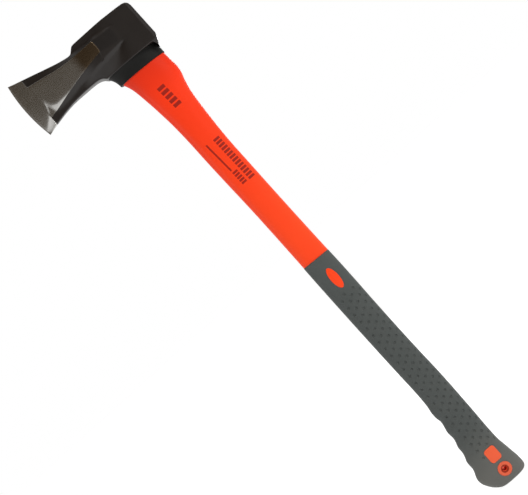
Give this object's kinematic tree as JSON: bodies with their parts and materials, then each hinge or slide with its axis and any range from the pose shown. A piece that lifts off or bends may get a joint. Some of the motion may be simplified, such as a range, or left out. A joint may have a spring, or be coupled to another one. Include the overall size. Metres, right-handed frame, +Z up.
{
  "type": "splitting axe",
  "caption": "Splitting axe with a forged wedge head on a moulded fibreglass haft, a finger-scalloped soft grip and a hang hole in the butt.",
  "frame": {"origin": "middle of the hang hole, half way through the thickness of the butt", "axes": "+Z up the haft from the butt to the head, -X towards the cutting edge and +X towards the poll, Y along the hang hole, through the thickness"},
  "size_m": [0.1886, 0.049, 0.7948],
  "materials": {
    "head_steel": "black forge lacquer, with the bit and the splitting rib ground to bare steel",
    "cast_resin": "dark amber epoxy, glossy",
    "collar_rubber": "black moulded rubber, satin",
    "jacket_plastic": "orange-red moulded polypropylene, satin",
    "grip_rubber": "grey soft-touch elastomer, matt, with a lattice of small dimples",
    "core_fibreglass": "pultruded glass fibre, pale, with fine lengthwise strands"
  },
  "bodies": {
    "root": {"axe_head": "head_steel", "eye_resin": "cast_resin", "head_collar": "collar_rubber", "haft_jacket": "jacket_plastic", "grip_sleeve": "grip_rubber", "fibreglass_core": "core_fibreglass"}
  },
  "joints": []
}
